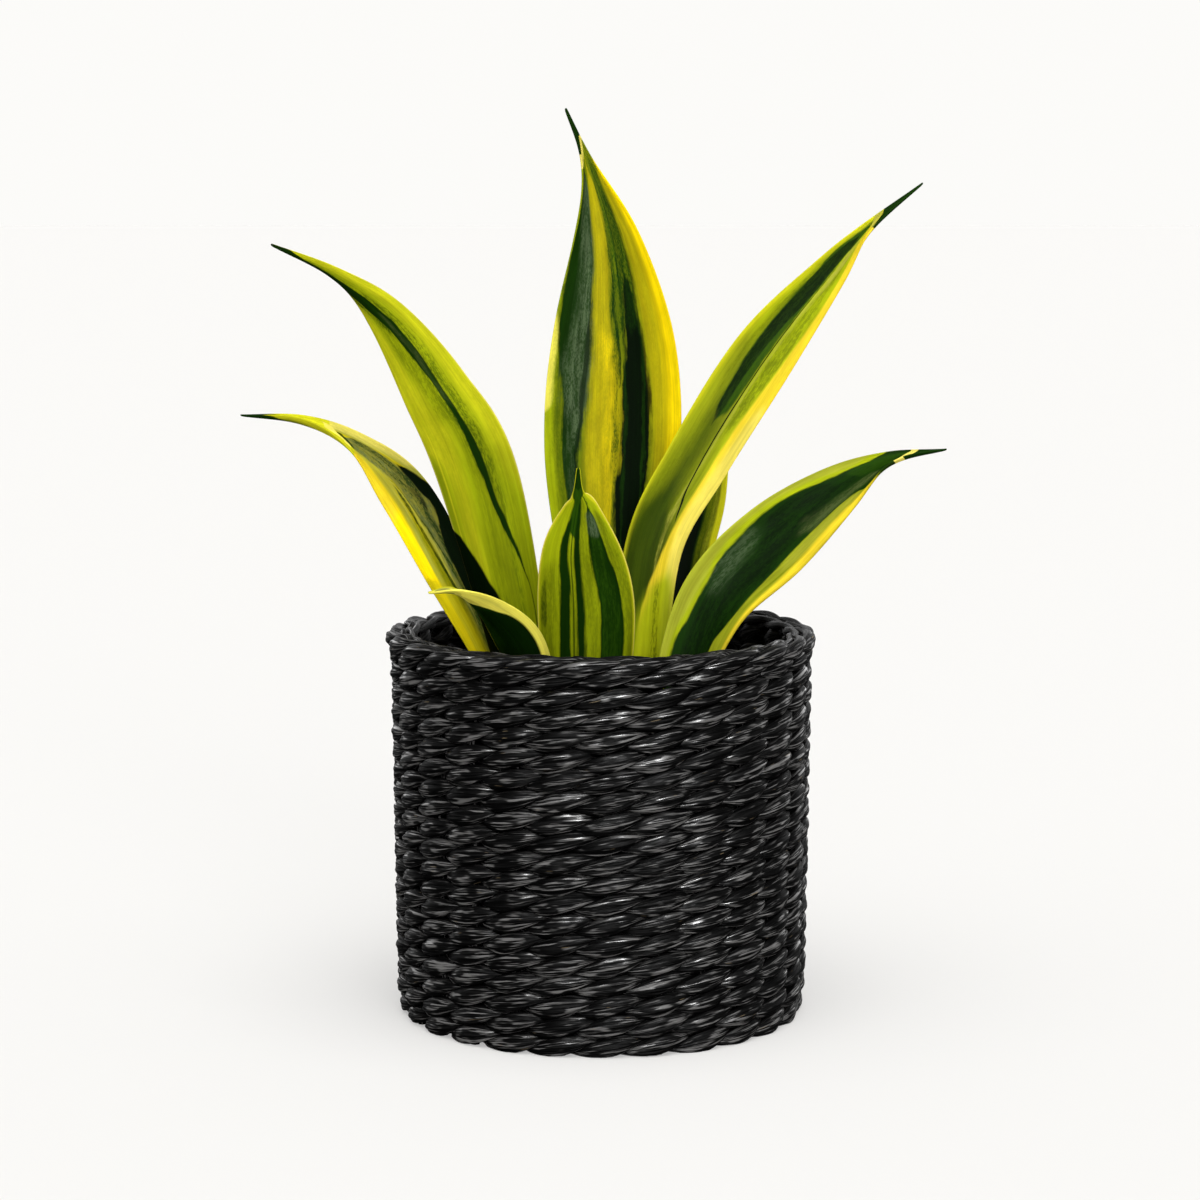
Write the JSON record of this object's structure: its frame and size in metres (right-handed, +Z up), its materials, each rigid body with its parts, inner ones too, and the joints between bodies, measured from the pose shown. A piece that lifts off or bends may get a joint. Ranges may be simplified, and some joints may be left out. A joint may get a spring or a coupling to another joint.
{
  "type": "potted snake plant",
  "caption": "Variegated golden flame snake plant in a nursery pot, standing in a round black twined fibre basket.",
  "frame": {"origin": "centre of the basket's underside, on the surface that it stands on", "axes": "+Z up along the basket's axis; -Y towards the front, where the small upright leaf stands; +X to the right seen from the front"},
  "size_m": [0.3004, 0.176, 0.3753],
  "materials": {
    "black_fibre": "black-dyed twined palm fibre, satin, with fine lengthwise strands and dull silver highlights",
    "pot_plastic": "thin black moulded nursery pot, slightly glossy",
    "potting_soil": "dark crumbly potting soil",
    "leaf_blade": "thick waxy leaf, dark green and lime stripes between bright yellow margins"
  },
  "bodies": {
    "root": {"weave_row_01": "black_fibre", "weave_row_02": "black_fibre", "weave_row_03": "black_fibre", "weave_row_04": "black_fibre", "weave_row_05": "black_fibre", "weave_row_06": "black_fibre", "weave_row_07": "black_fibre", "weave_row_08": "black_fibre", "weave_row_09": "black_fibre", "weave_row_10": "black_fibre", "weave_row_11": "black_fibre", "weave_row_12": "black_fibre", "weave_row_13": "black_fibre", "weave_row_14": "black_fibre", "weave_row_15": "black_fibre", "weave_row_16": "black_fibre", "weave_row_17": "black_fibre", "weave_row_18": "black_fibre", "weave_row_19": "black_fibre", "stake_01": "black_fibre", "stake_02": "black_fibre", "stake_03": "black_fibre", "stake_04": "black_fibre", "stake_05": "black_fibre", "stake_06": "black_fibre", "stake_07": "black_fibre", "stake_08": "black_fibre", "stake_09": "black_fibre", "stake_10": "black_fibre", "stake_11": "black_fibre", "stake_12": "black_fibre", "stake_13": "black_fibre", "stake_14": "black_fibre", "stake_15": "black_fibre", "stake_16": "black_fibre", "stake_17": "black_fibre", "stake_18": "black_fibre", "stake_19": "black_fibre", "stake_20": "black_fibre", "stake_21": "black_fibre", "stake_22": "black_fibre", "stake_23": "black_fibre", "stake_24": "black_fibre", "stake_25": "black_fibre", "stake_26": "black_fibre", "rim_border": "black_fibre", "woven_base": "black_fibre", "nursery_pot": "pot_plastic", "soil": "potting_soil", "leaf_tall_centre": "leaf_blade", "leaf_upper_left": "leaf_blade", "leaf_lower_left": "leaf_blade", "leaf_small_left": "leaf_blade", "leaf_small_front": "leaf_blade", "leaf_upper_right": "leaf_blade", "leaf_lower_right": "leaf_blade", "leaf_rear_right": "leaf_blade"}
  },
  "joints": []
}
